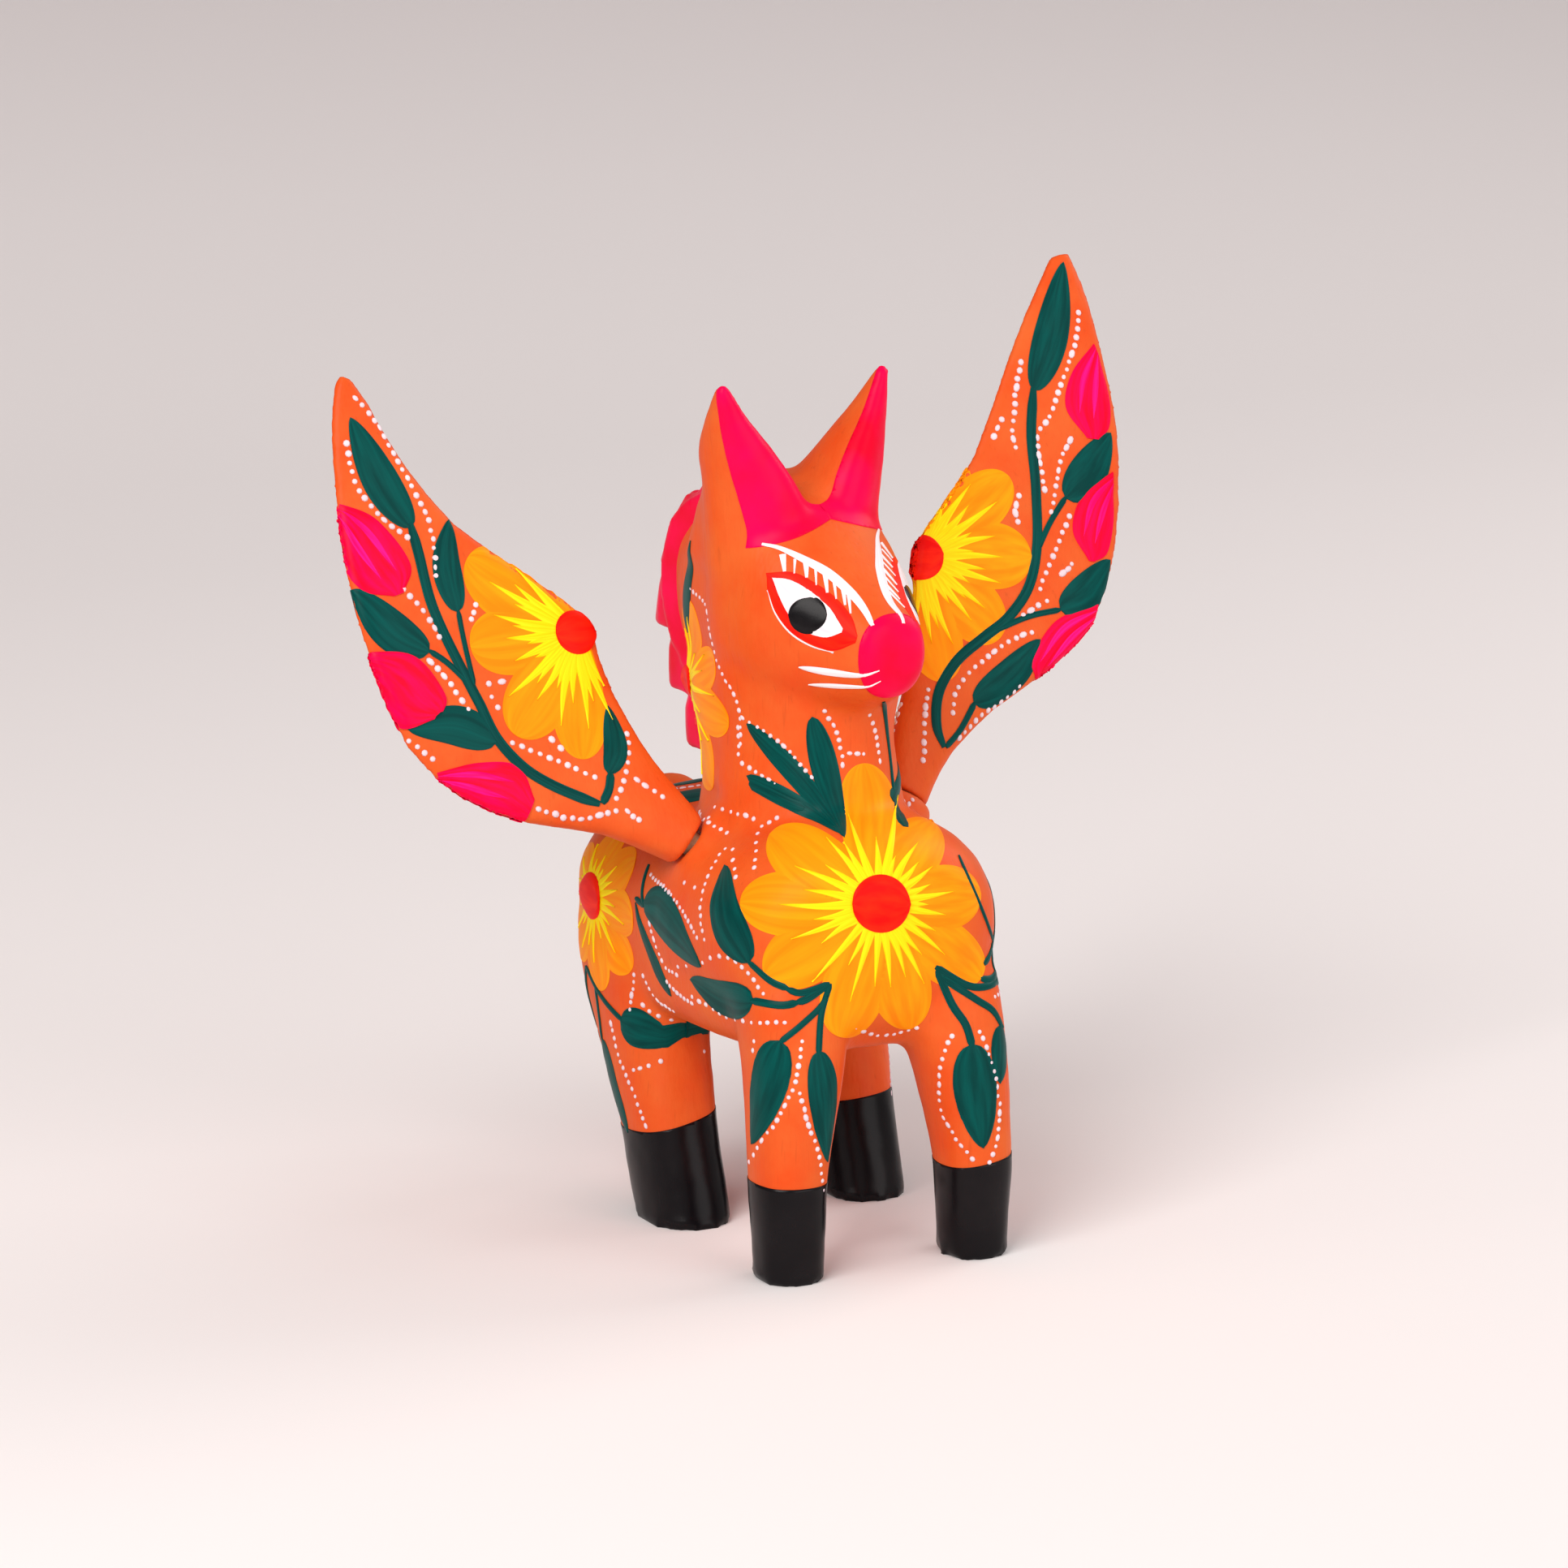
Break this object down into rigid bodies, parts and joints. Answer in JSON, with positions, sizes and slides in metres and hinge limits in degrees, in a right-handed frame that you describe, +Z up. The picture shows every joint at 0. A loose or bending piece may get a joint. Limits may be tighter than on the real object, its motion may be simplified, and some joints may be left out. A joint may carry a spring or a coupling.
{
  "type": "alebrije figure",
  "caption": "Carved and painted wooden winged horse that stands on four legs, with two wings and a tail that turn and pull out on round dowels.",
  "frame": {"origin": "on the ground under the middle of the whole figure", "axes": "+Z up; the animal looks along -Y, and its left side is +X"},
  "size_m": [0.129, 0.085, 0.1362],
  "materials": {
    "orange_paint": "soft wood under a thin satin coat of orange acrylic",
    "bare_wood": "unpainted dowel, fine straight grain",
    "pink_paint": "brushed hot pink acrylic",
    "green_paint": "brushed dark teal acrylic with a soft sheen",
    "petal_paint": "brushed golden orange acrylic",
    "yellow_paint": "fine yellow brush strokes",
    "red_paint": "thick red acrylic",
    "white_paint": "raised white dots and strokes",
    "black_paint": "black acrylic with a soft sheen"
  },
  "bodies": {
    "block": {"body": "orange_paint"},
    "right_dowel": {"right_wing_peg": "bare_wood"},
    "right_wing_blade": {"right_wing": "orange_paint"},
    "left_dowel": {"left_wing_peg": "bare_wood"},
    "left_wing_blade": {"left_wing": "orange_paint"},
    "tail_dowel": {"tail_peg": "bare_wood"},
    "tail_carving": {"tail": "orange_paint"}
  },
  "joints": [
    {"name": "right_wing_pull", "type": "slide", "parent": "block", "child": "right_dowel", "axis": [-0.7431, 0.2615, 0.6159], "range_m": [0, 0.009]},
    {"name": "right_wing_swivel", "type": "hinge", "parent": "right_dowel", "child": "right_wing_blade", "pos_m": [-0.01828, -0.00932, 0.059], "axis": [-0.7431, 0.2615, 0.6159], "range_deg": [-15, 15]},
    {"name": "left_wing_pull", "type": "slide", "parent": "block", "child": "left_dowel", "axis": [0.5878, 0.3161, 0.7447], "range_m": [0, 0.009]},
    {"name": "left_wing_swivel", "type": "hinge", "parent": "left_dowel", "child": "left_wing_blade", "pos_m": [0.01692, -0.00932, 0.0618], "axis": [0.5878, 0.3161, 0.7447], "range_deg": [-15, 15]},
    {"name": "tail_pull", "type": "slide", "parent": "block", "child": "tail_dowel", "axis": [0, 0.9397, 0.342], "range_m": [0, 0.009]},
    {"name": "tail_swivel", "type": "hinge", "parent": "tail_dowel", "child": "tail_carving", "pos_m": [-0.00068, 0.02568, 0.052], "axis": [0, 0.9397, 0.342], "range_deg": [-20, 20]}
  ]
}
